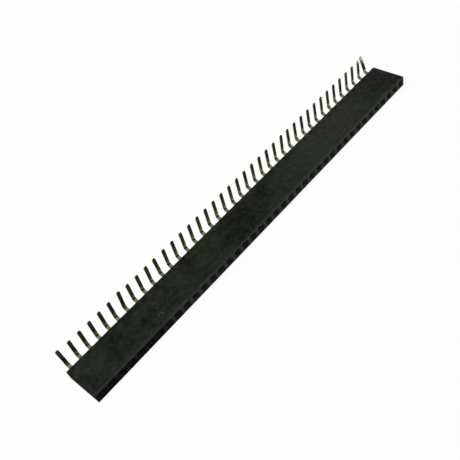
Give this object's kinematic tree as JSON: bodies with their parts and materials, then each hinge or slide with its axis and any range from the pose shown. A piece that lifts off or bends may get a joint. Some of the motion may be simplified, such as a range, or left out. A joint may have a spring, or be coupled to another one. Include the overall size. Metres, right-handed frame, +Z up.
{
  "type": "right-angle female pin header strip",
  "caption": "Long black socket strip in a single row, with square sockets along one side and flat gold solder tails that leave the opposite side and turn up at a right angle.",
  "frame": {"origin": "middle of the broad housing face that the strip lies on", "axes": "+X along the row of sockets, -Y out of the mating face, +Z up, the way the upturned solder tails point"},
  "size_m": [0.1018, 0.0109, 0.0063],
  "materials": {
    "housing_plastic": "satin black glass-filled moulding",
    "contact_metal": "bright flash-gold plating on phosphor bronze"
  },
  "bodies": {
    "root": {"housing": "housing_plastic", "contact_01": "contact_metal", "contact_02": "contact_metal", "contact_03": "contact_metal", "contact_04": "contact_metal", "contact_05": "contact_metal", "contact_06": "contact_metal", "contact_07": "contact_metal", "contact_08": "contact_metal", "contact_09": "contact_metal", "contact_10": "contact_metal", "contact_11": "contact_metal", "contact_12": "contact_metal", "contact_13": "contact_metal", "contact_14": "contact_metal", "contact_15": "contact_metal", "contact_16": "contact_metal", "contact_17": "contact_metal", "contact_18": "contact_metal", "contact_19": "contact_metal", "contact_20": "contact_metal", "contact_21": "contact_metal", "contact_22": "contact_metal", "contact_23": "contact_metal", "contact_24": "contact_metal", "contact_25": "contact_metal", "contact_26": "contact_metal", "contact_27": "contact_metal", "contact_28": "contact_metal", "contact_29": "contact_metal", "contact_30": "contact_metal", "contact_31": "contact_metal", "contact_32": "contact_metal", "contact_33": "contact_metal", "contact_34": "contact_metal", "contact_35": "contact_metal", "contact_36": "contact_metal", "contact_37": "contact_metal", "contact_38": "contact_metal", "contact_39": "contact_metal", "contact_40": "contact_metal"}
  },
  "joints": []
}
